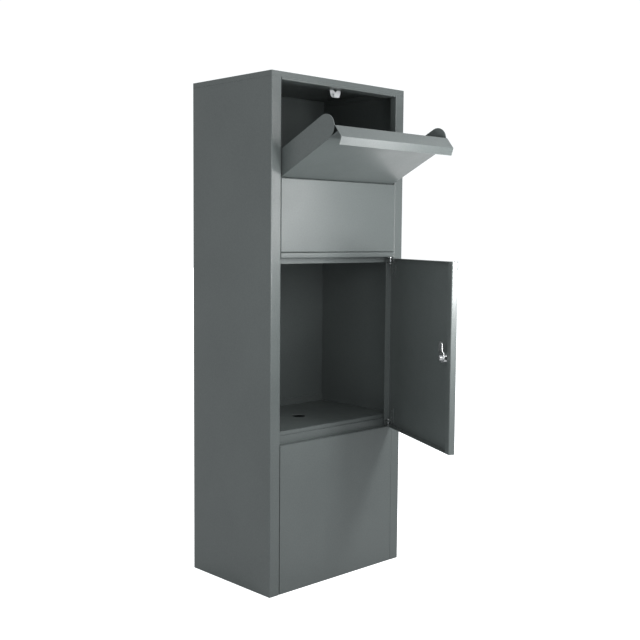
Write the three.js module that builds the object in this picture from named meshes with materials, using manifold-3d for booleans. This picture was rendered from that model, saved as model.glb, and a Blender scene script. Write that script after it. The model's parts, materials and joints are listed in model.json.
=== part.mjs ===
// Floor-standing parcel drop box in folded sheet steel: a tall cabinet with a bottom-hinged
// hopper flap at the top, a fixed panel, a lockable collection door and a closed plinth.
// Millimetres, +Z up. The origin is the centre of the base, the front faces -Y, +X is the
// right-hand side seen from the front. The hopper and the door stand open.
import * as THREE from "three";
import { mergeVertices } from "three/addons/utils/BufferGeometryUtils.js";
import Module from "manifold-3d";

const wasm = await Module();
wasm.setup();

// ---- Driving dimensions -------------------------------------------------------------------
const WIDTH = 440;
const DEPTH = 292;
const HEIGHT = 1200;
const SHEET = 1.5; // steel sheet
const THIN = 1.2; // sheet of the small brackets
const BEND = 1; // inner radius of every fold
const GAP = 0.3; // clearance between pieces that are welded or bolted face to face

const STILE = 30; // front face of each side panel
const RETURN = 17.5; // depth of the stile's inner return
const STOP = 10; // door stop flange beyond the return
const REAR_FLANGE = 15;
const CAP = 12; // skirt of the top cap

const PLINTH_TOP = 352; // top edge of the lower front panel
const SILL_LIP = 18;
const HEADER_LIP = 13;
const FLOOR_TOP = 380; // compartment floor
const DOOR_OPENING_TOP = 783;
const HEADER_TOP = 796;
const PANEL_TOP = 965; // top edge of the middle front panel
const MOUTH_TOP = 1182;

const HOPPER_OPEN = 64; // degrees from closed
const HOPPER_AXIS = { y: 6, z: 972 };
const HOPPER_WIDTH = 374;
const HOPPER_FACE = -6; // outer face of the flap, from the hinge axis
const HOPPER_TOP = 200.7;
const CHEEK = { inner: 50, centre: 171.5 };

const DOOR_OPEN = 65; // degrees from closed
const DOOR_AXIS = { x: 183, y: 4.5 };
const DOOR_EDGE = 5; // hinge axis to the hinge-side edge
const DOOR_REACH = 371; // hinge axis to the free edge
const DOOR_DEPTH = 15;
const DOOR_BOTTOM = 354.5;
const DOOR_TOP = 780.5;
const DOOR_LIP = 18; // return along the free edge

const LOCK = { x: -341, z: 567 }; // from the door's hinge axis
const LOCK_BARREL = 9.5;
const CAM_REACH = 37;

const HOPPER_PIN = 3; // radius
const BUSH = { bore: 3.3, barrel: 4.5, flange: 5.5 };
const DOOR_PIN = 2.5; // radius
const STOP_PIN = { t: 43.3, s: 4.5, radius: 3 }; // on the cheek, from the hopper's hinge axis
const CATCH = { y: 22.9, half: 17, bottom: 1163, screwX: 11, screwY: 29.5 };
const SEAM = 0.8; // visible seam between a front panel and a stile

const FRONT = -DEPTH / 2;
const OPENING = WIDTH / 2 - STILE; // half the clear width between the stiles
const LIP_HALF = OPENING - STOP - GAP; // half width of the lips above and below the door
const INSIDE = WIDTH / 2 - SHEET - GAP; // half width of what fits between the side panels
const BACK = DEPTH - SHEET - GAP; // rear face of the back panel
const PANEL_END = HEIGHT - CAP - GAP; // top edge of the sheets under the cap

// ---- Materials ----------------------------------------------------------------------------
const finish = (color, roughness, metalness) =>
  new THREE.MeshStandardMaterial({ color, roughness, metalness });
const powderCoat = () => finish(0x646b6a, 0.5, 0.2);
const zinc = () => finish(0xc9cdce, 0.35, 0.9);
const chrome = () => finish(0xdadcdd, 0.15, 1);
const nylon = () => finish(0x1c1d1e, 0.6, 0);

// ---- Booleans -----------------------------------------------------------------------------
function toSolid(geometry) {
  const bare = geometry.clone();
  bare.deleteAttribute("normal");
  bare.deleteAttribute("uv");
  const merged = mergeVertices(bare, 1e-4);
  return new wasm.Manifold(
    new wasm.Mesh({
      numProp: 3,
      vertProperties: merged.attributes.position.array,
      triVerts: new Uint32Array(merged.index.array),
    }),
  );
}

function toGeometry(solid) {
  const mesh = solid.getMesh();
  const geometry = new THREE.BufferGeometry();
  geometry.setAttribute("position", new THREE.BufferAttribute(mesh.vertProperties, 3));
  geometry.setIndex(new THREE.BufferAttribute(mesh.triVerts, 1));
  geometry.computeVertexNormals();
  return geometry;
}

const join = (first, ...rest) =>
  toGeometry(rest.reduce((sum, piece) => sum.add(toSolid(piece)), toSolid(first)));
const cut = (first, ...tools) =>
  toGeometry(tools.reduce((left, tool) => left.subtract(toSolid(tool)), toSolid(first)));
const common = (first, second) => toGeometry(toSolid(first).intersect(toSolid(second)));

// ---- Sections -----------------------------------------------------------------------------
// Rounds each inner corner of an open line. radius(turn) gives the corner's radius, where turn
// is positive at a left turn.
function fillet(points, radius) {
  const line = [points[0]];
  for (let i = 1; i < points.length - 1; i++) {
    const [before, corner, after] = [points[i - 1], points[i], points[i + 1]];
    const inward = before.clone().sub(corner).normalize();
    const outward = after.clone().sub(corner).normalize();
    const turn = outward.y * inward.x - outward.x * inward.y > 0 ? -1 : 1;
    const half = Math.acos(THREE.MathUtils.clamp(inward.dot(outward), -1, 1)) / 2;
    const r = radius(turn);
    const centre = corner
      .clone()
      .add(inward.clone().add(outward).normalize().multiplyScalar(r / Math.sin(half)));
    const start = corner.clone().add(inward.clone().multiplyScalar(r / Math.tan(half)));
    const from = Math.atan2(start.y - centre.y, start.x - centre.x);
    const sweep = turn * (Math.PI - 2 * half);
    const steps = Math.max(2, Math.round(Math.abs(sweep) / (Math.PI / 8)));
    for (let k = 0; k <= steps; k++) {
      const a = from + (sweep * k) / steps;
      line.push(new THREE.Vector2(centre.x + r * Math.cos(a), centre.y + r * Math.sin(a)));
    }
  }
  line.push(points.at(-1));
  return line;
}

// A folded sheet's section: path runs along one face and the sheet lies on its left.
function sheetSection(path, thickness = SHEET) {
  const points = path.map(([a, b]) => new THREE.Vector2(a, b));
  const normals = points
    .slice(1)
    .map((p, i) => p.clone().sub(points[i]).normalize())
    .map((d) => new THREE.Vector2(-d.y, d.x));
  const offset = points.map((p, i) => {
    const first = normals[Math.max(0, i - 1)];
    const second = normals[Math.min(normals.length - 1, i)];
    const mitre = first.clone().add(second);
    return p.clone().add(mitre.multiplyScalar((2 * thickness) / mitre.lengthSq()));
  });
  const face = fillet(points, (turn) => (turn > 0 ? BEND + thickness : BEND));
  const back = fillet(offset, (turn) => (turn > 0 ? BEND : BEND + thickness));
  return new THREE.Shape([...face, ...back.reverse()]);
}

const outline = (points) => new THREE.Shape(points.map(([a, b]) => new THREE.Vector2(a, b)));
const mirrored = (path) => path.map(([x, y]) => [-x, y]).reverse();

function roundedRectangle(x0, y0, x1, y1, r) {
  const shape = new THREE.Shape();
  shape.absarc(x1 - r, y0 + r, r, -Math.PI / 2, 0);
  shape.absarc(x1 - r, y1 - r, r, 0, Math.PI / 2);
  shape.absarc(x0 + r, y1 - r, r, Math.PI / 2, Math.PI);
  shape.absarc(x0 + r, y0 + r, r, Math.PI, 1.5 * Math.PI);
  return shape;
}

// ---- Solids from sections ------------------------------------------------------------------
const extrude = (shape, depth, curveSegments = 5) =>
  new THREE.ExtrudeGeometry(shape, { depth, bevelEnabled: false, curveSegments });

// Section drawn in (y, z), run along X from x0 to x1.
const alongX = (shape, x0, x1, segments) =>
  extrude(shape, x1 - x0, segments)
    .applyMatrix4(
      new THREE.Matrix4().makeBasis(
        new THREE.Vector3(0, 1, 0),
        new THREE.Vector3(0, 0, 1),
        new THREE.Vector3(1, 0, 0),
      ),
    )
    .translate(x0, 0, 0);

// Section drawn in (x, z), run along Y from y0 to y1.
const alongY = (shape, y0, y1, segments) =>
  extrude(shape, y1 - y0, segments)
    .rotateX(Math.PI / 2)
    .translate(0, y1, 0);

// Section drawn in (x, y), run along Z from z0 to z1.
const alongZ = (shape, z0, z1, segments) => extrude(shape, z1 - z0, segments).translate(0, 0, z0);

const block = (x0, y0, z0, x1, y1, z1) =>
  new THREE.BoxGeometry(x1 - x0, y1 - y0, z1 - z0).translate(
    (x0 + x1) / 2,
    (y0 + y1) / 2,
    (z0 + z1) / 2,
  );

// A turned piece about +Z: profile rows are [radius, height], starting and ending on the axis.
const turned = (profile, segments = 24) =>
  new THREE.LatheGeometry(profile.map(([r, h]) => new THREE.Vector2(r, h)), segments).rotateX(
    Math.PI / 2,
  );
const rod = (r, z0, z1, segments = 24) =>
  turned([[0, z0], [r, z0], [r, z1], [0, z1]], segments);
const toX = (geometry, side) => geometry.rotateY((side * Math.PI) / 2);
const toY = (geometry) => geometry.rotateX(-Math.PI / 2);

// ---- Scene --------------------------------------------------------------------------------
const parcelBox = new THREE.Group();
const cabinet = new THREE.Group();
cabinet.position.y = FRONT; // inside the cabinet group, y is measured back from the front face
parcelBox.add(cabinet);

const hopper = new THREE.Group();
hopper.position.set(0, FRONT + HOPPER_AXIS.y, HOPPER_AXIS.z);
hopper.rotation.x = THREE.MathUtils.degToRad(HOPPER_OPEN);
parcelBox.add(hopper);

const door = new THREE.Group();
door.position.set(DOOR_AXIS.x, FRONT + DOOR_AXIS.y, 0);
door.rotation.z = THREE.MathUtils.degToRad(DOOR_OPEN);
parcelBox.add(door);

function add(group, name, geometry, material) {
  const mesh = new THREE.Mesh(geometry, material);
  mesh.name = name;
  group.add(mesh);
}

const SIDES = [
  ["left", -1],
  ["right", 1],
];

// ---- Cabinet shell -------------------------------------------------------------------------
function sidePanel(side) {
  const edge = -WIDTH / 2;
  const handed = (path) => sheetSection(side < 0 ? path : mirrored(path));
  const shell = handed([
    [edge + REAR_FLANGE, DEPTH],
    [edge, DEPTH],
    [edge, 0],
    [edge + STILE, 0],
    [edge + STILE, RETURN],
  ]);
  const doorStop = handed([
    [edge + STILE / 2, 0],
    [edge + STILE, 0],
    [edge + STILE, RETURN],
    [edge + STILE + STOP, RETURN],
  ]);
  const bushHole = toX(rod(BUSH.barrel + GAP, OPENING - 2, OPENING + 4), side);
  return cut(
    join(
      alongZ(shell, 0, PANEL_END),
      alongZ(doorStop, PLINTH_TOP + GAP, DOOR_OPENING_TOP - GAP),
    ),
    bushHole.translate(0, HOPPER_AXIS.y, HOPPER_AXIS.z),
  );
}

function topCap() {
  const half = WIDTH / 2;
  const outer = roundedRectangle(-half, 0, half, DEPTH, BEND + SHEET);
  const inner = roundedRectangle(SHEET - half, SHEET, half - SHEET, DEPTH - SHEET, BEND);
  return cut(
    alongZ(outer, HEIGHT - CAP, HEIGHT),
    alongZ(inner, HEIGHT - CAP - 1, HEIGHT - SHEET),
  );
}

const backPanel = () => block(-INSIDE, BACK - SHEET, GAP, INSIDE, BACK, HEIGHT - SHEET - GAP);

function basePlate() {
  const flange = 30;
  const front = SHEET + 2 * GAP;
  const back = BACK - SHEET - 2 * GAP;
  const tray = sheetSection([[front, flange], [front, 0], [back, 0], [back, flange]]);
  const wings = block(-INSIDE, RETURN + 2, 0, INSIDE, back - 2 * (BEND + SHEET), SHEET);
  const anchorHoles = [-150, 150].flatMap((x) =>
    [60, 232].map((y) => rod(5.5, -5, 5).translate(x, y, 0)),
  );
  return cut(join(alongX(tray, 1 - OPENING, OPENING - 1), wings), ...anchorHoles);
}

add(cabinet, "top_cap", topCap(), powderCoat());
add(cabinet, "back_panel", backPanel(), powderCoat());
add(cabinet, "base_plate", basePlate(), powderCoat());
for (const [name, side] of SIDES) add(cabinet, name + "_side_panel", sidePanel(side), powderCoat());

// ---- Fixed front panels and rails ------------------------------------------------------------
const doorPinHole = (z) =>
  rod(DOOR_PIN + GAP, z - 5, z + 5).translate(DOOR_AXIS.x, DOOR_AXIS.y, 0);

// A front piece and its narrower lip, which stands between the two door stops.
const lipped = (face, lip, holeHeight) =>
  cut(
    join(
      alongX(sheetSection(face), SEAM - OPENING, OPENING - SEAM),
      alongX(sheetSection(lip), -LIP_HALF, LIP_HALF),
    ),
    doorPinHole(holeHeight),
  );

const lowerFrontPanel = () =>
  lipped(
    [[RETURN, PLINTH_TOP], [0, PLINTH_TOP], [0, GAP]],
    [[RETURN, PLINTH_TOP + SILL_LIP], [RETURN, PLINTH_TOP], [RETURN / 2, PLINTH_TOP]],
    PLINTH_TOP,
  );

function doorHeader() {
  const z = DOOR_OPENING_TOP;
  return lipped(
    [[RETURN + 10, HEADER_TOP], [0, HEADER_TOP], [0, z], [RETURN, z]],
    [[RETURN / 2, z], [RETURN, z], [RETURN, z - HEADER_LIP]],
    z,
  );
}

function middleFrontPanel() {
  const depth = 25;
  const bottom = HEADER_TOP + 2 * GAP;
  const section = [
    [depth, PANEL_TOP - 20],
    [depth, PANEL_TOP],
    [0, PANEL_TOP],
    [0, bottom],
    [depth, bottom],
  ];
  return alongX(sheetSection(section), SEAM - OPENING, OPENING - SEAM);
}

function topHeader() {
  const depth = 38;
  const section = [[0, PANEL_END], [0, MOUTH_TOP], [depth, MOUTH_TOP], [depth, PANEL_END]];
  const holes = SIDES.map(([, side]) =>
    rod(2, MOUTH_TOP - 3, MOUTH_TOP + 4, 12).translate(side * CATCH.screwX, CATCH.screwY, 0),
  );
  return cut(alongX(sheetSection(section), SEAM - OPENING, OPENING - SEAM), ...holes);
}

add(cabinet, "lower_front_panel", lowerFrontPanel(), powderCoat());
add(cabinet, "door_header", doorHeader(), powderCoat());
add(cabinet, "middle_front_panel", middleFrontPanel(), powderCoat());
add(cabinet, "top_header", topHeader(), powderCoat());

// ---- Inside the cabinet ----------------------------------------------------------------------
function compartmentFloor() {
  const flange = 18;
  const front = RETURN + SHEET + 2;
  const back = BACK - 2 * SHEET - 2 * GAP;
  const section = [
    [back, FLOOR_TOP + flange],
    [back, FLOOR_TOP],
    [front, FLOOR_TOP],
    [front, FLOOR_TOP - flange],
  ];
  const hole = rod(17, FLOOR_TOP - 5, FLOOR_TOP + 5, 32).translate(0, DEPTH / 2, 0);
  return cut(alongX(sheetSection(section), -INSIDE, INSIDE), hole);
}

function floorBracket(side) {
  const top = FLOOR_TOP - SHEET - GAP;
  const leg = 25;
  const path = [[leg - INSIDE, top], [-INSIDE, top], [-INSIDE, top - leg]];
  const section = sheetSection(side < 0 ? path : mirrored(path));
  return alongY(section, RETURN + 10, DEPTH - 20);
}

// Sloping plate that carries a parcel back from the flap and keeps hands out of the safe.
function parcelChute() {
  const top = [26.5, PANEL_TOP - 3];
  const toe = [150, 835];
  const lip = 35;
  const wing = 18;
  const slope = sheetSection([[toe[0], toe[1] - lip], toe, top]);
  const wingShape = outline([
    [top[0] + 4, top[1] - 6],
    [toe[0] - 4, toe[1] + 2],
    [toe[0] - 4, toe[1] - wing],
    [top[0] + 4, top[1] - 6 - wing],
  ]);
  const wings = SIDES.map(([, side]) => {
    const x = side < 0 ? -INSIDE : INSIDE - SHEET;
    return alongX(wingShape, x, x + SHEET);
  });
  return join(alongX(slope, -INSIDE, INSIDE), ...wings);
}

add(cabinet, "compartment_floor", compartmentFloor(), powderCoat());
for (const [name, side] of SIDES)
  add(cabinet, "floor_bracket_" + name, floorBracket(side), powderCoat());
add(cabinet, "parcel_chute", parcelChute(), powderCoat());

// ---- Magnetic catch under the top header -------------------------------------------------------
function catchBracket() {
  const top = MOUTH_TOP - GAP;
  const section = [[CATCH.y + 12, top], [CATCH.y, top], [CATCH.y, CATCH.bottom]];
  const { half, bottom } = CATCH;
  const relief = { half: 6, depth: 6.5 }; // V notch through the fold
  const tongue = new THREE.Shape();
  tongue.moveTo(-half, top + 1);
  tongue.lineTo(-half, bottom + 10);
  tongue.lineTo(-half + 4, bottom + 3);
  tongue.quadraticCurveTo(-half + 6, bottom, -half + 9, bottom);
  tongue.lineTo(half - 9, bottom);
  tongue.quadraticCurveTo(half - 6, bottom, half - 4, bottom + 3);
  tongue.lineTo(half, bottom + 10);
  tongue.lineTo(half, top + 1);
  tongue.lineTo(relief.half, top + 1);
  tongue.lineTo(relief.half, top - 2);
  tongue.lineTo(0, top - relief.depth);
  tongue.lineTo(-relief.half, top - 2);
  tongue.lineTo(-relief.half, top + 1);
  const holes = SIDES.map(([, side]) =>
    rod(2, top - 5, top + 5, 12).translate(side * CATCH.screwX, CATCH.screwY, 0),
  );
  return cut(
    common(alongX(sheetSection(section, THIN), -half, half), alongY(tongue, 15, 45, 6)),
    ...holes,
  );
}

function catchMagnet() {
  const thick = 5;
  const height = 8;
  const half = 9;
  const y = CATCH.y - GAP;
  const z = CATCH.bottom + 1;
  return alongY(roundedRectangle(-half, z, half, z + height, 1.5), y - thick, y, 3);
}

function panScrew(radius, head, headHeight, length) {
  const screw = turned(
    [
      [0, 0],
      [head * 0.75, 0],
      [head, headHeight * 0.45],
      [head, headHeight],
      [radius, headHeight],
      [radius, headHeight + length],
      [0, headHeight + length],
    ],
    20,
  );
  const slot = 0.45;
  const reach = head * 0.6;
  const depth = headHeight * 0.5;
  return cut(
    screw,
    block(-reach, -slot, -1, reach, slot, depth),
    block(-slot, -reach, -1, slot, reach, depth),
  );
}

add(cabinet, "catch_bracket", catchBracket(), zinc());
add(cabinet, "catch_magnet", catchMagnet(), zinc());
for (const [name, side] of SIDES) {
  const headHeight = 1.7;
  const z = MOUTH_TOP - 2 * GAP - THIN - headHeight;
  const screw = panScrew(1.6, 3.2, headHeight, 4.5);
  add(cabinet, "catch_screw_" + name, screw.translate(side * CATCH.screwX, CATCH.screwY, z), zinc());
}

// ---- Hopper flap -------------------------------------------------------------------------------
// Inside the hopper group, y runs inward from the hinge axis and z up the closed flap.
const HOPPER_HALF = HOPPER_WIDTH / 2;
const FLAP_FOOT = -4;
const LIP = { root: [11, 199], crest: [-20, 206], tip: [-33, 193] };

// The foot of the flap is notched at both ends for the pivot pins.
function hopperPanel() {
  const depth = 12;
  const section = [[HOPPER_FACE, HOPPER_TOP], [HOPPER_FACE, FLAP_FOOT], [depth, FLAP_FOOT]];
  const start = HOPPER_FACE + SHEET + BEND + 0.2;
  const notches = [-HOPPER_HALF - 1, HOPPER_HALF - 6].map((x) =>
    block(x, start, FLAP_FOOT - 2, x + 7, depth + 1, 0),
  );
  return cut(alongX(sheetSection(section), -HOPPER_HALF, HOPPER_HALF), ...notches);
}

function hopperCheek(side) {
  const outer = HOPPER_FACE + SHEET + GAP;
  const foot = FLAP_FOOT + SHEET + GAP;
  const corner = 5;
  const ear = { edge: -2.7, radius: 6 }; // below the foot, around the pivot
  const radius = (CHEEK.inner - outer) / 2;
  const shape = new THREE.Shape();
  shape.moveTo(outer, foot);
  shape.lineTo(ear.edge, foot);
  shape.absarc(
    0,
    0,
    ear.radius,
    Math.PI + Math.acos(-ear.edge / ear.radius),
    2 * Math.PI + Math.asin(foot / ear.radius),
  );
  shape.absarc(CHEEK.inner - corner, foot + corner, corner, -Math.PI / 2, 0);
  shape.absarc(outer + radius, CHEEK.centre, radius, 0, Math.PI);
  const x = side < 0 ? -HOPPER_HALF : HOPPER_HALF - SHEET;
  const hole = (r) => toX(rod(r, HOPPER_HALF - 5, HOPPER_HALF + 5), side);
  return cut(
    alongX(shape, x, x + SHEET, 12),
    hole(HOPPER_PIN + GAP),
    hole(2 + GAP).translate(0, STOP_PIN.t, STOP_PIN.s),
  );
}

const hopperPullLip = () =>
  alongX(sheetSection([LIP.root, LIP.crest, LIP.tip]), -HOPPER_HALF, HOPPER_HALF);

// Steel keeper under the lip's root, which the catch magnet holds.
const strikePlate = () =>
  alongX(sheetSection([[11.2, 185], [11.2, 196.9], [-3, 196.9]], THIN), -20, 20);

function pivotPin(side) {
  const inner = HOPPER_HALF - SHEET - GAP;
  const pin = turned([
    [0, inner - 2.2],
    [3.6, inner - 2.2],
    [4.2, inner - 1.4],
    [4.2, inner],
    [HOPPER_PIN, inner],
    [HOPPER_PIN, OPENING + 5.5],
    [2.4, OPENING + 6.1],
    [0, OPENING + 6.1],
  ]);
  return toX(pin, side);
}

function pivotBush(side) {
  const bush = turned([
    [BUSH.bore, HOPPER_HALF + 0.4],
    [BUSH.flange, HOPPER_HALF + 0.4],
    [BUSH.flange, OPENING - GAP],
    [BUSH.barrel, OPENING - GAP],
    [BUSH.barrel, OPENING + 4],
    [BUSH.bore, OPENING + 4],
    [BUSH.bore, HOPPER_HALF + 0.4],
  ]);
  return toX(bush, side).translate(0, HOPPER_AXIS.y, HOPPER_AXIS.z);
}

function stopPin(side) {
  const inner = HOPPER_HALF - SHEET - GAP;
  const pin = turned([
    [0, inner - 1.6],
    [2.6, inner - 1.6],
    [3.4, inner - 0.8],
    [3.4, inner],
    [2, inner],
    [2, HOPPER_HALF + GAP],
    [STOP_PIN.radius, HOPPER_HALF + GAP],
    [STOP_PIN.radius, OPENING + 6],
    [0, OPENING + 6],
  ]);
  return toX(pin, side).translate(0, STOP_PIN.t, STOP_PIN.s);
}

add(hopper, "hopper_panel", hopperPanel(), powderCoat());
add(hopper, "hopper_pull_lip", hopperPullLip(), powderCoat());
add(hopper, "hopper_strike_plate", strikePlate(), zinc());
for (const [name, side] of SIDES) {
  add(hopper, "hopper_cheek_" + name, hopperCheek(side), powderCoat());
  add(hopper, "hopper_pivot_pin_" + name, pivotPin(side), zinc());
  add(hopper, "hopper_stop_pin_" + name, stopPin(side), nylon());
  add(cabinet, "hopper_pivot_bush_" + name, pivotBush(side), nylon());
}

// ---- Collection door ------------------------------------------------------------------------------
// Inside the door group, x runs from the hinge axis (the free edge is at -x) and y runs inward.
const DOOR_FACE = -DOOR_AXIS.y;
const DOOR_BACK = DOOR_FACE + DOOR_DEPTH;
const HINGE_SEAT = DOOR_FACE + SHEET + GAP; // face of the hinge brackets against the door's skin
const HINGE_INSET = 8; // from the door's rim to a bracket
const HINGE_PLATE = { x0: -31, x1: -5, height: 36, thick: 2 };
const HINGE_TAB = { x0: -13, depth: 11, thick: 3 };
const RIVET = { x: -21, offsets: [11, 27], shank: 1.6, hole: 1.9 }; // offsets from a bracket's end

function doorPanel() {
  const section = sheetSection([
    [DOOR_LIP - DOOR_REACH, DOOR_BACK],
    [-DOOR_REACH, DOOR_BACK],
    [-DOOR_REACH, DOOR_FACE],
    [DOOR_EDGE, DOOR_FACE],
    [DOOR_EDGE, DOOR_BACK],
  ]);
  const rim = (z) =>
    block(
      SHEET * 0.7 - DOOR_REACH,
      DOOR_FACE + SHEET * 0.5,
      z,
      DOOR_EDGE - SHEET * 0.7,
      DOOR_BACK,
      z + SHEET,
    );
  const pinHole = rod(DOOR_PIN + GAP, DOOR_BOTTOM - 5, DOOR_TOP + 5);
  const lockHole = toY(rod(LOCK_BARREL + GAP, DOOR_FACE - 5, DOOR_FACE + 6, 32));
  return cut(
    join(alongZ(section, DOOR_BOTTOM, DOOR_TOP), rim(DOOR_BOTTOM), rim(DOOR_TOP - SHEET)),
    pinHole,
    lockHole.translate(LOCK.x, 0, LOCK.z),
  );
}

// Plate and tab inside the door's corner that carry a hinge pin; up is +1 at the door's top.
function hingeBracket(edge, up) {
  const { x0, x1, height, thick } = HINGE_PLATE;
  const near = edge - up * (SHEET + HINGE_INSET);
  const span = (reach) => [near, near - up * reach].sort((a, b) => a - b);
  const [plateBottom, plateTop] = span(height);
  const [tabBottom, tabTop] = span(HINGE_TAB.thick);
  const plate = block(x0, HINGE_SEAT, plateBottom, x1, HINGE_SEAT + thick, plateTop);
  const tab = block(
    HINGE_TAB.x0,
    HINGE_SEAT,
    tabBottom,
    DOOR_EDGE - SHEET - GAP,
    HINGE_SEAT + HINGE_TAB.depth,
    tabTop,
  );
  const rivetHoles = RIVET.offsets.map((offset) =>
    toY(rod(RIVET.hole, HINGE_SEAT - 1, HINGE_SEAT + thick + 1, 16)).translate(
      RIVET.x,
      0,
      near - up * offset,
    ),
  );
  return cut(join(plate, tab), rod(DOOR_PIN + GAP, tabBottom - 2, tabTop + 2), ...rivetHoles);
}

// Headed pin from inside the tab out through the door's rim and into the cabinet.
function hingePin(edge, up) {
  const seat = -(SHEET + HINGE_INSET + HINGE_TAB.thick + GAP);
  const head = 2;
  const reach = 8;
  const pin = turned([
    [0, seat - head],
    [2.4, seat - head],
    [3, seat - head * 0.6],
    [3, seat],
    [DOOR_PIN, seat],
    [DOOR_PIN, reach],
    [1.9, reach + 0.6],
    [0, reach + 0.6],
  ]);
  if (up < 0) pin.rotateX(Math.PI);
  return pin.translate(0, 0, edge);
}

function hingeRivet(edge, up, offset) {
  const foot = HINGE_SEAT + GAP;
  const seat = HINGE_SEAT + HINGE_PLATE.thick + GAP;
  const rivet = turned(
    [
      [0, foot],
      [RIVET.shank, foot],
      [RIVET.shank, seat],
      [3.1, seat],
      [2.8, seat + 0.9],
      [1.7, seat + 1.5],
      [0, seat + 1.7],
    ],
    16,
  );
  return toY(rivet).translate(RIVET.x, 0, edge - up * (SHEET + HINGE_INSET + offset));
}

add(door, "door_panel", doorPanel(), powderCoat());
for (const [name, edge, up] of [
  ["upper", DOOR_TOP, 1],
  ["lower", DOOR_BOTTOM, -1],
]) {
  add(door, "door_hinge_bracket_" + name, hingeBracket(edge, up), powderCoat());
  add(door, "door_hinge_pin_" + name, hingePin(edge, up), zinc());
  RIVET.offsets.forEach((offset, i) =>
    add(
      door,
      "door_hinge_rivet_" + name + "_" + (i + 1),
      hingeRivet(edge, up, offset),
      powderCoat(),
    ),
  );
}

// ---- Cam lock ---------------------------------------------------------------------------------------
// Inside the lock group the origin is on the door's outer face; y runs inward, the cam points up.
const lock = new THREE.Group();
lock.position.set(LOCK.x, DOOR_FACE, LOCK.z);
door.add(lock);

const BARREL_END = 18.5;
const PLUG = 6;
const CAM_FACE = 19.9;
const CAM_THICK = 2.1;
const CAM_CRANK = 3.5;
const SPIGOT = 3.4; // half of the square that drives the cam

const lockHousing = () =>
  toY(
    turned(
      [
        [PLUG + GAP, -2.6],
        [10.6, -2.6],
        [11.6, -1.8],
        [11.6, -GAP],
        [LOCK_BARREL, -GAP],
        [LOCK_BARREL, BARREL_END],
        [PLUG + GAP, BARREL_END],
        [PLUG + GAP, -2.6],
      ],
      32,
    ),
  );

function hexagon(acrossFlats) {
  const radius = acrossFlats / 2 / Math.cos(Math.PI / 6);
  return outline(
    [0, 1, 2, 3, 4, 5].map((i) => {
      const a = (i * Math.PI) / 3;
      return [radius * Math.cos(a), radius * Math.sin(a)];
    }),
  );
}

function lockNut() {
  const y = SHEET + GAP;
  return cut(alongY(hexagon(24), y, y + 5), toY(rod(LOCK_BARREL + GAP, 0, 10, 32)));
}

function lockPlug() {
  const core = toY(rod(PLUG, -1.8, CAM_FACE - GAP, 32));
  const spigot = block(-SPIGOT, CAM_FACE - 1, -SPIGOT, SPIGOT, CAM_FACE + CAM_THICK, SPIGOT);
  const keyway = block(-0.7, -5, -3.8, 0.7, 4, 3.8);
  const screwHole = toY(rod(2.2, CAM_FACE - 8, CAM_FACE + 5, 16));
  return cut(join(core, spigot), keyway, screwHole);
}

// Cranked cam: the blade stands further in than the hub.
function lockCam() {
  const hub = 10.5;
  const tip = 8;
  const inner = CAM_FACE + CAM_THICK;
  const shape = new THREE.Shape();
  shape.absarc(0, 0, hub, Math.PI, 2 * Math.PI);
  shape.absarc(0, CAM_REACH - tip, tip, 0, Math.PI);
  const section = [
    [inner, -hub - 1],
    [inner, hub + 1],
    [inner + CAM_CRANK, hub + 5],
    [inner + CAM_CRANK, CAM_REACH + 1],
  ];
  const hole = SPIGOT + GAP;
  return cut(
    common(
      alongX(sheetSection(section, CAM_THICK), -hub, hub),
      alongY(shape, CAM_FACE - 1, inner + CAM_CRANK + 1, 10),
    ),
    block(-hole, 0, -hole, hole, 30, hole),
  );
}

// Hexagon bolt with a washer flange that holds the cam on the plug.
function lockCamBolt() {
  const seat = CAM_FACE + CAM_THICK + GAP;
  const flange = 1.2;
  const head = 5;
  const acrossFlats = 11;
  return join(
    toY(rod(1.9, seat - 6, seat + flange)),
    toY(rod(7, seat, seat + flange, 32)),
    alongY(hexagon(acrossFlats), seat + flange / 2, seat + flange + head),
  );
}

add(lock, "lock_housing", lockHousing(), chrome());
add(lock, "lock_nut", lockNut(), chrome());
add(lock, "lock_plug", lockPlug(), chrome());
add(lock, "lock_cam", lockCam(), zinc());
add(lock, "lock_cam_bolt", lockCamBolt(), zinc());

export default parcelBox;
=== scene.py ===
"""Looks for the parcel drop box: materials, finished fasteners and lock, studio and camera.

Metres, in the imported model's frame: +Z up, the front faces -Y, +X is the right-hand side.
"""
import json
import math
import random

import bmesh
import bpy
from mathutils import Matrix, Vector


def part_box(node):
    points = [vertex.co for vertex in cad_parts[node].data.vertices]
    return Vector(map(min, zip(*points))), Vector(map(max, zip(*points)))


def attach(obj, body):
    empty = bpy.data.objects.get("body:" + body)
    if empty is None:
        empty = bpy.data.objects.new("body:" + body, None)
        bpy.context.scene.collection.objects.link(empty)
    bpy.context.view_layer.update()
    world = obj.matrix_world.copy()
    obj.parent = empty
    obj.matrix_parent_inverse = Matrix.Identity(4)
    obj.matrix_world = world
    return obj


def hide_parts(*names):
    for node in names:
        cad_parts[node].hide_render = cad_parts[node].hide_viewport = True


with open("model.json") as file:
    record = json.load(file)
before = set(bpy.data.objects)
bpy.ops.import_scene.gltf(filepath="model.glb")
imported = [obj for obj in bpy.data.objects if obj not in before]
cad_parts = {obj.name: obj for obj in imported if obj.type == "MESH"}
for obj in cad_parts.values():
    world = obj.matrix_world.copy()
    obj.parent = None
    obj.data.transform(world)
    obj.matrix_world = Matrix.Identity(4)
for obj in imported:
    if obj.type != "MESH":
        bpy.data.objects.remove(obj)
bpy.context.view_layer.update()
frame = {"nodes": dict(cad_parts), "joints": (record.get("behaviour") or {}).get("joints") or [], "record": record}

NODES = frame["nodes"]
JOINTS = {joint["name"]: joint for joint in frame["joints"]}
MM = 0.001
SHEET = 1.5 * MM
RANDOM_SEED = 7

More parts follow.
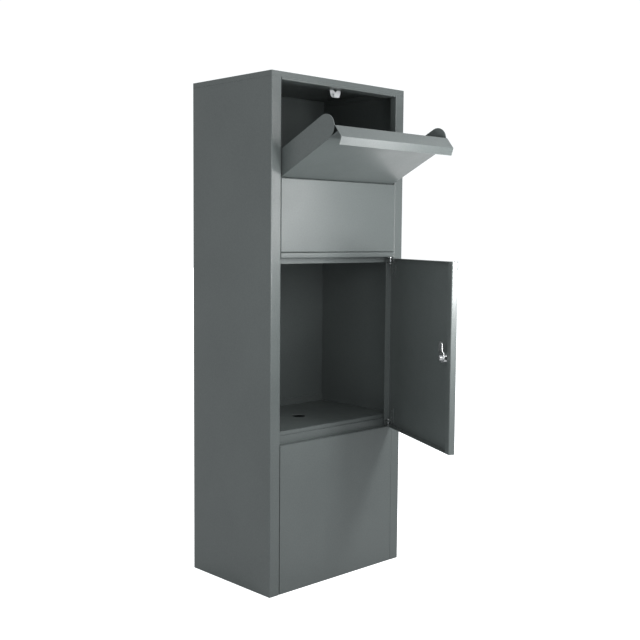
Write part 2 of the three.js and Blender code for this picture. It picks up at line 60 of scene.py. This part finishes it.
# ---- Camera and studio -----------------------------------------------------------------------
# The camera was fitted to the cabinet's outer corners in the photo.
CAMERA_PLACE = (-1.67774, -1.83528, 0.82995)
CAMERA_AZIMUTH = -43.652  # degrees; 0 looks along +Y
CAMERA_ELEVATION = 4.7327
CAMERA_ROLL = 0.4712
CAMERA_LENS = 55.77  # millimetres, for SENSOR_WIDTH
SENSOR_WIDTH = 36.0
FLOOR_SIZE = 40.0
FLOOR_HEIGHT = -1 * MM  # just under the base
FLOOR_COLOUR = (0.74, 0.745, 0.75, 1.0)
FLOOR_GLOW = 1.06
SURROUND_COLOUR = (0.97, 0.99, 1.0, 1.0)
SURROUND_LIGHT = 0.60  # strength of the white surround on the object, level with it
OVERHEAD_LIGHT = 0.85  # and from above
OVERHEAD_START, OVERHEAD_FULL = 0.2, 0.5  # heights on a unit sphere between which it changes
BACKDROP = 1.06  # the surround as the camera sees it
# Placed and powered so that the tone of each face comes near the photo's.
SOFTBOXES = (  # name, place, target, size, watts
    ("front_softbox", (-0.08, -0.75, 0.95), (0.0, -0.15, 0.95), (0.25, 0.25), 1.4),
    ("low_front_softbox", (0.05, -0.85, 0.74), (0.03, -0.48, 0.70), (0.10, 0.10), 2.8),
    ("mouth_softbox", (0.16, -0.85, 1.20), (-0.10, 0.14, 1.10), (0.20, 0.15), 0.9),
    ("panel_softbox", (0.25, -0.62, 0.96), (-0.18, -0.15, 0.88), (0.10, 0.35), 1.2),
    ("edge_softbox", (-0.50, -0.60, 0.85), (-0.20, -0.15, 0.85), (0.12, 0.30), 0.8),
    ("middle_softbox", (-0.15, -1.00, 0.60), (-0.10, 0.10, 0.60), (0.20, 0.20), 1.1),
    ("flap_softbox", (0.80, -0.05, 0.55), (0.15, -0.32, 1.03), (0.40, 0.40), 0.6),
)


def make_camera():
    data = bpy.data.cameras.new("camera")
    data.lens = CAMERA_LENS
    data.sensor_width = SENSOR_WIDTH
    data.clip_start, data.clip_end = 0.05, 100.0
    camera = bpy.data.objects.new("camera", data)
    azimuth, elevation = map(math.radians, (CAMERA_AZIMUTH, CAMERA_ELEVATION))
    back = Vector((
        math.sin(azimuth) * math.cos(elevation),
        -math.cos(azimuth) * math.cos(elevation),
        math.sin(elevation),
    ))
    right = (-back).cross(Vector((0, 0, 1))).normalized()
    up = back.cross(right)
    level = Matrix((right, up, back)).transposed()
    turn = Matrix.Rotation(math.radians(CAMERA_ROLL), 3, "Z")
    camera.rotation_mode = "QUATERNION"
    camera.rotation_quaternion = (level @ turn).to_quaternion()
    camera.location = CAMERA_PLACE
    bpy.context.scene.collection.objects.link(camera)
    bpy.context.scene.camera = camera


def area_light(name, place, target, size, watts):
    data = bpy.data.lights.new(name, "AREA")
    data.shape = "RECTANGLE"
    data.size, data.size_y = size
    data.energy = watts
    light = bpy.data.objects.new(name, data)
    light.location = place
    light.rotation_mode = "QUATERNION"
    light.rotation_quaternion = (Vector(target) - Vector(place)).to_track_quat("-Z", "Y")
    light.visible_camera = False
    bpy.context.scene.collection.objects.link(light)


def make_surround():
    """White surround, brighter overhead; the view behind the object has its own strength."""
    world = bpy.data.worlds.new("surround")
    world.use_nodes = True
    tree = world.node_tree
    background = tree.nodes["Background"]
    background.inputs["Color"].default_value = SURROUND_COLOUR
    direction = tree.nodes.new("ShaderNodeTexCoord")
    height = tree.nodes.new("ShaderNodeSeparateXYZ")
    light = tree.nodes.new("ShaderNodeMapRange")
    light.inputs["From Min"].default_value = OVERHEAD_START
    light.inputs["From Max"].default_value = OVERHEAD_FULL
    light.inputs["To Min"].default_value = SURROUND_LIGHT
    light.inputs["To Max"].default_value = OVERHEAD_LIGHT
    path = tree.nodes.new("ShaderNodeLightPath")
    strength = tree.nodes.new("ShaderNodeMapRange")
    strength.inputs["To Max"].default_value = BACKDROP
    tree.links.new(direction.outputs["Generated"], height.inputs["Vector"])
    tree.links.new(height.outputs["Z"], light.inputs["Value"])
    tree.links.new(light.outputs["Result"], strength.inputs["To Min"])
    tree.links.new(path.outputs["Is Camera Ray"], strength.inputs["Value"])
    tree.links.new(strength.outputs["Result"], background.inputs["Strength"])
    bpy.context.scene.world = world


def make_floor():
    """Pale paper floor; its glow is seen by the camera and doesn't light the object."""
    bpy.ops.mesh.primitive_plane_add(size=FLOOR_SIZE, location=(0, 0, FLOOR_HEIGHT))
    floor = bpy.context.object
    floor.name = "floor"
    material = bpy.data.materials.new("floor_paper")
    material.use_nodes = True
    tree = material.node_tree
    shader = tree.nodes["Principled BSDF"]
    shader.inputs["Base Color"].default_value = FLOOR_COLOUR
    shader.inputs["Roughness"].default_value = 0.9
    shader.inputs["Specular IOR Level"].default_value = 0.1
    shader.inputs["Emission Color"].default_value = SURROUND_COLOUR
    path = tree.nodes.new("ShaderNodeLightPath")
    glow = tree.nodes.new("ShaderNodeMapRange")
    glow.inputs["To Max"].default_value = FLOOR_GLOW
    tree.links.new(path.outputs["Is Camera Ray"], glow.inputs["Value"])
    tree.links.new(glow.outputs["Result"], shader.inputs["Emission Strength"])
    floor.data.materials.append(material)


def make_studio():
    make_surround()
    make_floor()
    for name, place, target, size, watts in SOFTBOXES:
        area_light(name, place, target, size, watts)
    bpy.context.scene.view_settings.view_transform = "Standard"
    bpy.context.scene.view_settings.look = "None"


# ---- Material helpers ------------------------------------------------------------------------
class Surface:
    """A Principled material with procedural detail in object space."""

    def __init__(self, name):
        self.material = bpy.data.materials.new(name)
        self.material.use_nodes = True
        self.tree = self.material.node_tree
        self.shader = self.tree.nodes["Principled BSDF"]
        self.place = self.node("ShaderNodeTexCoord").outputs["Object"]
        self.normal = None

    def node(self, kind, **settings):
        node = self.tree.nodes.new(kind)
        for key, value in settings.items():
            setattr(node, key, value)
        return node

    def link(self, source, target):
        self.tree.links.new(source, target)

    def set(self, **sockets):
        for name, value in sockets.items():
            self.shader.inputs[name.replace("_", " ")].default_value = value
        return self

    def noise(self, scale, detail, roughness=0.5):
        noise = self.node("ShaderNodeTexNoise")
        noise.inputs["Scale"].default_value = scale
        noise.inputs["Detail"].default_value = detail
        noise.inputs["Roughness"].default_value = roughness
        self.link(self.place, noise.inputs["Vector"])
        return noise.outputs["Fac"]

    def spread(self, value, low, high, start=0.3, end=0.7):
        """value, over start to end, becomes low to high."""
        remap = self.node("ShaderNodeMapRange")
        for name, number in (
            ("From Min", start), ("From Max", end), ("To Min", low), ("To Max", high)
        ):
            remap.inputs[name].default_value = number
        self.link(value, remap.inputs["Value"])
        return remap.outputs["Result"]

    def times(self, a, b):
        node = self.node("ShaderNodeMath", operation="MULTIPLY")
        self.link(a, node.inputs[0])
        self.link(b, node.inputs[1])
        return node.outputs[0]

    def blend(self, factor, first, second):
        """Mixed colour; each of the three is a number, a colour or another node's output."""
        mix = self.node("ShaderNodeMix", data_type="RGBA")
        for index, value in ((0, factor), (6, first), (7, second)):
            if isinstance(value, tuple):
                mix.inputs[index].default_value = (*value, 1.0)
            elif isinstance(value, float):
                mix.inputs[index].default_value = value
            else:
                self.link(value, mix.inputs[index])
        return mix.outputs[2]

    def bump(self, height, distance, strength):
        node = self.node("ShaderNodeBump")
        node.inputs["Strength"].default_value = strength
        node.inputs["Distance"].default_value = distance
        self.link(height, node.inputs["Height"])
        if self.normal:
            self.link(self.normal, node.inputs["Normal"])
        self.normal = node.outputs["Normal"]

    def edges(self, radius):
        """0 on flat faces, rising to 1 at sharp outer and inner edges."""
        bevel = self.node("ShaderNodeBevel", samples=6)
        bevel.inputs["Radius"].default_value = radius
        geometry = self.node("ShaderNodeNewGeometry")
        dot = self.node("ShaderNodeVectorMath", operation="DOT_PRODUCT")
        self.link(bevel.outputs["Normal"], dot.inputs[0])
        self.link(geometry.outputs["Normal"], dot.inputs[1])
        return self.spread(dot.outputs["Value"], 1.0, 0.0, start=0.72, end=0.995)

    def done(self, colour, roughness):
        self.link(colour, self.shader.inputs["Base Color"])
        self.link(roughness, self.shader.inputs["Roughness"])
        self.link(self.normal, self.shader.inputs["Normal"])
        return self.material


# ---- Materials -------------------------------------------------------------------------------
def powder_coat():
    """Dark grey semi-gloss powder coat: orange peel, slight panel waviness, light handling wear."""
    s = Surface("powder_coat").set(Metallic=0.0, Specular_IOR_Level=0.5)
    cloud = s.spread(s.noise(5.0, 4.0, 0.55), 0.0, 1.0)
    mottle = s.spread(s.noise(260.0, 2.0), 0.0, 1.0)
    broad = s.blend(cloud, (0.088, 0.101, 0.100), (0.108, 0.123, 0.121))
    speck = s.blend(mottle, (0.085, 0.098, 0.097), (0.115, 0.130, 0.128))
    chafe = s.times(s.edges(1.1 * MM), s.spread(s.noise(60.0, 5.0, 0.65), 0.0, 1.0, 0.42, 0.72))
    colour = s.blend(chafe, s.blend(0.45, broad, speck), (0.22, 0.24, 0.238))
    rough = s.spread(s.noise(18.0, 5.0, 0.6), 0.29, 0.38)
    s.bump(s.noise(3.2, 1.0, 0.4), 0.8 * MM, 0.3)
    s.bump(s.noise(900.0, 2.0, 0.5), 0.035 * MM, 0.7)
    return s.done(colour, rough)


def zinc_plate():
    """Bright zinc plate with duller cloudy patches and rubbed edges."""
    s = Surface("zinc_plate").set(Metallic=1.0)
    cloud = s.spread(s.noise(90.0, 3.0, 0.5), 0.0, 1.0)
    colour = s.blend(cloud, (0.64, 0.655, 0.67), (0.76, 0.77, 0.78))
    rub = s.times(s.edges(0.5 * MM), s.spread(s.noise(120.0, 2.0), 0.3, 1.0))
    colour = s.blend(rub, colour, (0.88, 0.88, 0.88))
    rough = s.spread(s.noise(80.0, 2.0, 0.4), 0.28, 0.36, 0.2, 0.8)
    s.bump(s.noise(150.0, 1.0, 0.4), 0.05 * MM, 0.3)
    return s.done(colour, rough)


def lock_chrome():
    """Polished chrome with fine wipe marks."""
    s = Surface("lock_chrome").set(Metallic=1.0)
    haze = s.spread(s.noise(180.0, 5.0, 0.65), 0.0, 1.0)
    colour = s.blend(haze, (0.78, 0.79, 0.80), (0.86, 0.87, 0.88))
    rough = s.spread(s.noise(420.0, 5.0, 0.7), 0.07, 0.2)
    s.bump(s.noise(650.0, 3.0), 0.012 * MM, 0.5)
    return s.done(colour, rough)


def nylon():
    """Black moulded nylon, slightly satin, with a fine grain."""
    s = Surface("nylon").set(Metallic=0.0, Specular_IOR_Level=0.45)
    grain = s.spread(s.noise(1500.0, 3.0), 0.0, 1.0)
    colour = s.blend(grain, (0.012, 0.012, 0.013), (0.022, 0.022, 0.024))
    rough = s.spread(s.noise(240.0, 3.0), 0.42, 0.58)
    s.bump(s.noise(1500.0, 3.0), 0.03 * MM, 0.6)
    return s.done(colour, rough)


MAKERS = {
    "powder_coat": powder_coat,
    "zinc_plate": zinc_plate,
    "lock_chrome": lock_chrome,
    "nylon": nylon,
}


# ---- CAD nodes -------------------------------------------------------------------------------
ROUNDING = {  # radius that breaks a slot's sharp edges, in millimetres
    "powder_coat": 0.28,
    "zinc_plate": 0.18,
    "lock_chrome": 0.15,
    "nylon": 0.15,
}
ROUNDED_FROM = 40  # degrees; sharper edges than this are broken
SHARP_FROM = 48  # degrees; gentler edges are shaded as round
FACETS_JOIN_WITHIN = 0.002 * MM


def smooth_by_angle():
    """Modifier group: smooth shading everywhere but at sharp edges."""
    group = bpy.data.node_groups.new("smooth_by_angle", "GeometryNodeTree")
    for way in ("INPUT", "OUTPUT"):
        group.interface.new_socket("Geometry", in_out=way, socket_type="NodeSocketGeometry")
    make = group.nodes.new
    start, end = make("NodeGroupInput"), make("NodeGroupOutput")
    bare = make("GeometryNodeRemoveAttribute")
    bare.inputs["Name"].default_value = "custom_normal"
    faces, edges = make("GeometryNodeSetShadeSmooth"), make("GeometryNodeSetShadeSmooth")
    faces.domain, edges.domain = "FACE", "EDGE"
    edges.inputs["Shade Smooth"].default_value = False
    angle = make("GeometryNodeInputMeshEdgeAngle")
    sharp = make("FunctionNodeCompare")
    sharp.operation = "GREATER_THAN"
    sharp.inputs["B"].default_value = math.radians(SHARP_FROM)
    link = group.links.new
    link(start.outputs[0], bare.inputs["Geometry"])
    link(bare.outputs["Geometry"], faces.inputs["Geometry"])
    link(faces.outputs["Geometry"], edges.inputs["Geometry"])
    link(angle.outputs["Unsigned Angle"], sharp.inputs["A"])
    link(sharp.outputs["Result"], edges.inputs["Selection"])
    link(edges.outputs["Geometry"], end.inputs[0])
    return group


def shade_round(obj):
    obj.modifiers.new("smooth_by_angle", "NODES").node_group = SMOOTHING
    weighted = obj.modifiers.new("flat_faces_flat", "WEIGHTED_NORMAL")
    weighted.keep_sharp = True


def break_edges(obj, radius):
    """Joins the facets, rounds the sharp edges and shades the folds as round."""
    weld = obj.modifiers.new("weld", "WELD")
    weld.merge_threshold = FACETS_JOIN_WITHIN
    bevel = obj.modifiers.new("broken_edges", "BEVEL")
    bevel.width = radius
    bevel.segments = 2
    bevel.limit_method = "ANGLE"
    bevel.angle_limit = math.radians(ROUNDED_FROM)
    shade_round(obj)


def dress_nodes():
    for row in frame["record"]["subparts"]:
        node = NODES[row["node"]]
        node.data.materials.clear()
        node.data.materials.append(MATERIALS[row["material_slot"]])
        break_edges(node, ROUNDING[row["material_slot"]] * MM)


# ---- Turned and hexagonal pieces -------------------------------------------------------------
def add_piece(name, mesh, slot, body, *stands_for):
    obj = bpy.data.objects.new(name, mesh)
    bpy.context.scene.collection.objects.link(obj)
    mesh.materials.append(MATERIALS[slot])
    shade_round(obj)
    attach(obj, body)
    if stands_for:
        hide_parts(*stands_for)


def revolve(name, rows, segments, place):
    """Closed mesh from rows of (radius at an angle, height), about place's Z axis."""
    bm = bmesh.new()
    rings = []
    for radius, height in rows:
        if callable(radius) or radius > 0:
            ring = []
            for i in range(segments):
                a = 2 * math.pi * i / segments
                r = radius(a) if callable(radius) else radius
                ring.append(bm.verts.new((r * math.cos(a), r * math.sin(a), height)))
        else:
            ring = [bm.verts.new((0, 0, height))]
        rings.append(ring)
    pairs = list(zip(rings, rings[1:]))
    if len(rings[0]) > 1:  # a bored piece closes on itself
        pairs.append((rings[-1], rings[0]))
    for low, high in pairs:
        for i in range(segments):
            j = (i + 1) % segments
            corners = [
                low[i % len(low)], low[j % len(low)], high[j % len(high)], high[i % len(high)]
            ]
            bm.faces.new(list(dict.fromkeys(corners)))
    bmesh.ops.recalc_face_normals(bm, faces=bm.faces)
    bm.transform(place)
    mesh = bpy.data.meshes.new(name)
    bm.to_mesh(mesh)
    bm.free()
    return mesh


class Axle:
    """A line that turned parts share; heights are measured along it."""

    def __init__(self, origin, direction):
        self.origin, self.direction = Vector(origin), Vector(direction).normalized()
        turn = self.direction.to_track_quat("Z", "Y").to_matrix().to_4x4()
        self.place = Matrix.Translation(self.origin) @ turn

    def span(self, node):
        heights = [
            (v.co - self.origin).dot(self.direction) for v in NODES[node].data.vertices
        ]
        return min(heights), max(heights)

    def reach(self, node):
        return max(
            (v.co - self.origin).cross(self.direction).length
            for v in NODES[node].data.vertices
        )


def hexagon_radius(across_flats, limit, turn=0.0):
    """Radius of a hexagon at an angle, no more than limit, which rounds its corners off."""
    def radius(angle):
        sixth = math.pi / 3
        off = (angle + turn) % sixth - sixth / 2
        return min(across_flats / 2 / math.cos(off), limit)
    return radius


LOCK_SEGMENTS = 72
HEX_CORNER = math.sqrt(4 / 3)  # a hexagon's corners to its flats
BARREL = 9.5 * MM  # radius over the thread
BARREL_FLAT = 8.4 * MM  # from the axis to each of the barrel's two flats
THREAD_DEPTH = 0.55 * MM
THREAD_PITCH = 1.25 * MM
BEZEL_DEPTH = 2.6 * MM
NUT_CHAMFER = 1.1 * MM
BOLT_FLATS = 11 * MM
BOLT_HEIGHT = 6.2 * MM  # head and flange
BOLT_TURN = math.radians(20)
BOLT_SHANK = 1.9 * MM


def double_d(radius):
    """Radius at an angle of a round bar with two flats."""
    return lambda angle: min(radius, BARREL_FLAT / max(abs(math.cos(angle)), 1e-6))


def lock_barrel(axle):
    """Threaded barrel; its stepped bezel rests on the door's outer face."""
    low, high = axle.span("lock_housing")
    bore = axle.reach("lock_plug") + 0.25 * MM
    bezel = axle.reach("lock_housing")
    root = BARREL - THREAD_DEPTH
    shoulder = high - BEZEL_DEPTH
    thread = low + 0.6 * MM
    turns = int((shoulder - 1.2 * MM - thread) / THREAD_PITCH)
    rows = [(bore, low + 0.4 * MM), (bore + 0.4 * MM, low), (double_d(BARREL - 0.8 * MM), low)]
    for i in range(turns):
        start = thread + i * THREAD_PITCH
        rows += [
            (double_d(root), start),
            (double_d(BARREL), start + 0.4 * THREAD_PITCH),
            (double_d(BARREL), start + 0.6 * THREAD_PITCH),
        ]
    rows += [
        (double_d(root), thread + turns * THREAD_PITCH),
        (root, shoulder),
        (bezel - 0.35 * MM, shoulder),
        (bezel, shoulder + 0.35 * MM),
        (bezel, shoulder + 1.1 * MM),
        (bezel - 0.35 * MM, shoulder + 1.7 * MM),
        (bezel - 1.4 * MM, high - 0.15 * MM),
        (bezel - 1.9 * MM, high),
        (bore + 1.2 * MM, high),
        (bore, high - 0.9 * MM),
    ]
    mesh = revolve("lock_barrel", rows, LOCK_SEGMENTS, axle.place)
    add_piece("lock_barrel", mesh, "lock_chrome", "door", "lock_housing")


def lock_hex_nut(axle):
    """Nut with chamfered corners and a countersunk hole."""
    low, high = axle.span("lock_nut")
    corner = axle.reach("lock_nut")
    flats = 2 * corner / HEX_CORNER
    hole = BARREL + 0.05 * MM
    face = flats / 2 - 0.3 * MM
    chamfer = hexagon_radius(flats, flats / 2 + 0.2 * MM)
    body = hexagon_radius(flats, corner - 0.25 * MM)
    rows = [
        (hole, low + 0.6 * MM),
        (hole + 0.6 * MM, low),
        (face, low),
        (chamfer, low + 0.3 * MM),
        (body, low + NUT_CHAMFER),
        (body, high - NUT_CHAMFER),
        (chamfer, high - 0.3 * MM),
        (face, high),
        (hole + 0.6 * MM, high),
        (hole, high - 0.6 * MM),
    ]
    mesh = revolve("lock_hex_nut", rows, LOCK_SEGMENTS, axle.place)
    add_piece("lock_hex_nut", mesh, "lock_chrome", "door", "lock_nut")


def lock_cam_fixing(axle):
    """Hexagon bolt with a washer flange; the head is at the low end."""
    low, high = axle.span("lock_cam_bolt")
    flange = axle.reach("lock_cam_bolt")
    corner = BOLT_FLATS / 2 * HEX_CORNER
    seat = low + BOLT_HEIGHT
    chamfer = hexagon_radius(BOLT_FLATS, BOLT_FLATS / 2 + 0.15 * MM, BOLT_TURN)
    head = hexagon_radius(BOLT_FLATS, corner - 0.15 * MM, BOLT_TURN)
    rows = [
        (0, low),
        (BOLT_FLATS / 2 - 1.3 * MM, low),
        (BOLT_FLATS / 2 - 0.3 * MM, low + 0.12 * MM),
        (chamfer, low + 0.4 * MM),
        (head, low + 0.9 * MM),
        (head, seat - 1.9 * MM),
        (corner, seat - 1.6 * MM),
        (flange - 0.5 * MM, seat - 1.0 * MM),
        (flange, seat - 0.7 * MM),
        (flange, seat - 0.2 * MM),
        (flange - 0.2 * MM, seat),
        (BOLT_SHANK, seat),
        (BOLT_SHANK, high - 0.3 * MM),
        (BOLT_SHANK - 0.3 * MM, high),
        (0, high),
    ]
    mesh = revolve("lock_cam_fixing", rows, LOCK_SEGMENTS, axle.place)
    add_piece("lock_cam_fixing", mesh, "zinc_plate", "lock_core", "lock_cam_bolt")


def lock_pieces():
    joint = JOINTS["lock_turn"]
    axle = Axle(joint["pos_m"], joint["axis"])
    lock_barrel(axle)
    lock_hex_nut(axle)
    lock_cam_fixing(axle)


RIVET_SEGMENTS = 40
RIVET_SHANK = 1.6 * MM
RIVET_HEAD = 1.7 * MM  # height of the head
DOME = 1.65 * MM
DOME_STEPS = 7
CENTRE_MARK = 0.3 * MM  # radius and depth


def dome_rivet(row):
    """Domed rivet with a small centre mark; its head faces into the cabinet when shut."""
    node = row["node"]
    low_corner, high_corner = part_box(node)
    inward = -Vector(JOINTS["lock_turn"]["axis"])
    axle = Axle((low_corner + high_corner) / 2, inward)
    low, high = axle.span(node)
    head = axle.reach(node)
    foot = high - RIVET_HEAD
    rows = [(0, low), (RIVET_SHANK, low), (RIVET_SHANK, foot), (head, foot)]
    for i in range(1, DOME_STEPS):
        a = math.pi / 2 * i / DOME_STEPS
        rows.append((head * math.cos(a), foot + DOME * math.sin(a)))
    rows += [
        (1.5 * CENTRE_MARK, high - 0.05 * MM),
        (CENTRE_MARK, high - CENTRE_MARK),
        (0, high - CENTRE_MARK),
    ]
    mesh = revolve(node, rows, RIVET_SEGMENTS, axle.place)
    name = node.replace("hinge_rivet", "hinge_dome_rivet")
    add_piece(name, mesh, row["material_slot"], "door", node)


def rivet_pieces():
    for row in frame["record"]["subparts"]:
        if "rivet" in row["node"]:
            dome_rivet(row)


# ---- Weld bead -------------------------------------------------------------------------------
BEAD_RADIUS = 0.9 * MM
BEAD_SIDES = 8
BEAD_STEP = 2.2 * MM
BEAD_LUMPS = (0.82, 1.12)  # least and most of the radius
BEAD_INSET = 0.45 * MM  # from the cap's inner face to the bead's middle
BEAD_END = 4 * MM  # from the cap's rear edge
WELD_GAP = 0.3 * MM  # between the cap and the sheets under it


def bead_ring(bm, centre, side, up):
    radius = BEAD_RADIUS * random.uniform(*BEAD_LUMPS)
    angles = (2 * math.pi * k / BEAD_SIDES for k in range(BEAD_SIDES))
    return [
        bm.verts.new(centre + radius * (side * math.cos(a) + up * math.sin(a))) for a in angles
    ]


def bead(name, corners):
    """Weld bead along level straight runs between corners, lumpy along its length."""
    bm = bmesh.new()
    rings = []
    for start, end in zip(corners, corners[1:]):
        run = end - start
        along = run.normalized()
        side = Vector((0, 0, 1)).cross(along)
        up = along.cross(side)
        count = max(2, int(run.length / BEAD_STEP))
        rings += [bead_ring(bm, start + run * (i / count), side, up) for i in range(count + 1)]
    for first, second in zip(rings, rings[1:]):
        for k in range(BEAD_SIDES):
            j = (k + 1) % BEAD_SIDES
            bm.faces.new((first[k], first[j], second[j], second[k]))
    for ring in (rings[0], rings[-1]):
        bm.faces.new(ring)
    bmesh.ops.recalc_face_normals(bm, faces=bm.faces)
    mesh = bpy.data.meshes.new(name)
    bm.to_mesh(mesh)
    bm.free()
    return mesh


def cap_weld():
    """The bead inside the top cap that joins it to the sides and the front."""
    low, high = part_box("top_cap")
    seam = low.z - WELD_GAP / 2
    inset = SHEET + BEAD_INSET
    rear = high.y - BEAD_END
    corners = [
        Vector((low.x + inset, rear, seam)),
        Vector((low.x + inset, low.y + inset, seam)),
        Vector((high.x - inset, low.y + inset, seam)),
        Vector((high.x - inset, rear, seam)),
    ]
    add_piece("cap_weld_bead", bead("cap_weld_bead", corners), "powder_coat", "cabinet")


random.seed(RANDOM_SEED)
make_camera()
make_studio()
MATERIALS = {slot: make() for slot, make in MAKERS.items()}
SMOOTHING = smooth_by_angle()
dress_nodes()
lock_pieces()
rivet_pieces()
cap_weld()
